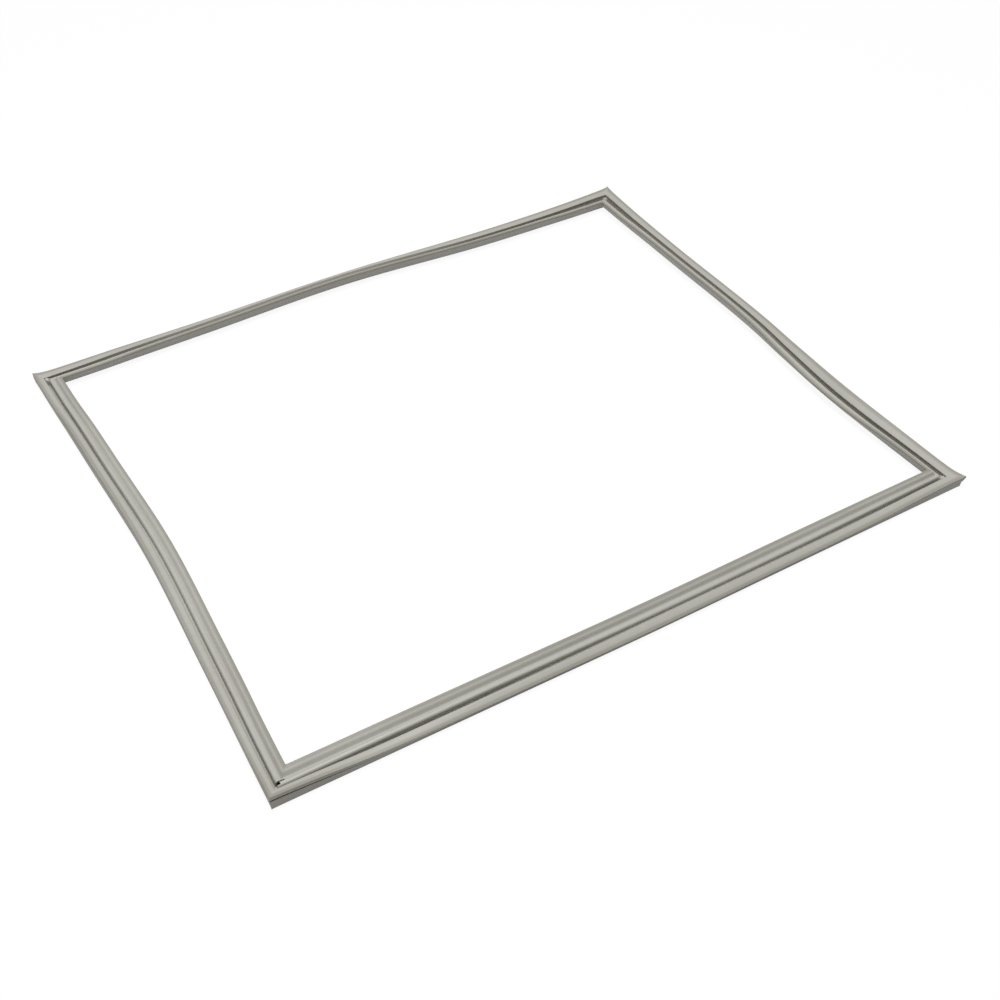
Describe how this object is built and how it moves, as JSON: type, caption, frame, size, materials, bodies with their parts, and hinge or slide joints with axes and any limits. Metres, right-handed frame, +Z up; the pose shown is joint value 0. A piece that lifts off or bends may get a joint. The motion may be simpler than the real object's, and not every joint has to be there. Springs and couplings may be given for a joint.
{
  "type": "door gasket",
  "caption": "Closed rectangular door gasket of hollow, light grey soft strip with a low sealing pocket, a deep groove and a ridged wing, mitred and welded at the corners.",
  "frame": {"origin": "bottom centre of the bounding box, on the surface that the gasket lies on", "axes": "+X along the long sides, toward the right side; +Y along the short sides, toward the back; +Z up, out of the sealing face"},
  "size_m": [0.7248, 0.6284, 0.0197],
  "materials": {
    "soft_vinyl": "light grey, satin"
  },
  "bodies": {
    "root": {"door_gasket": "soft_vinyl"}
  },
  "joints": []
}
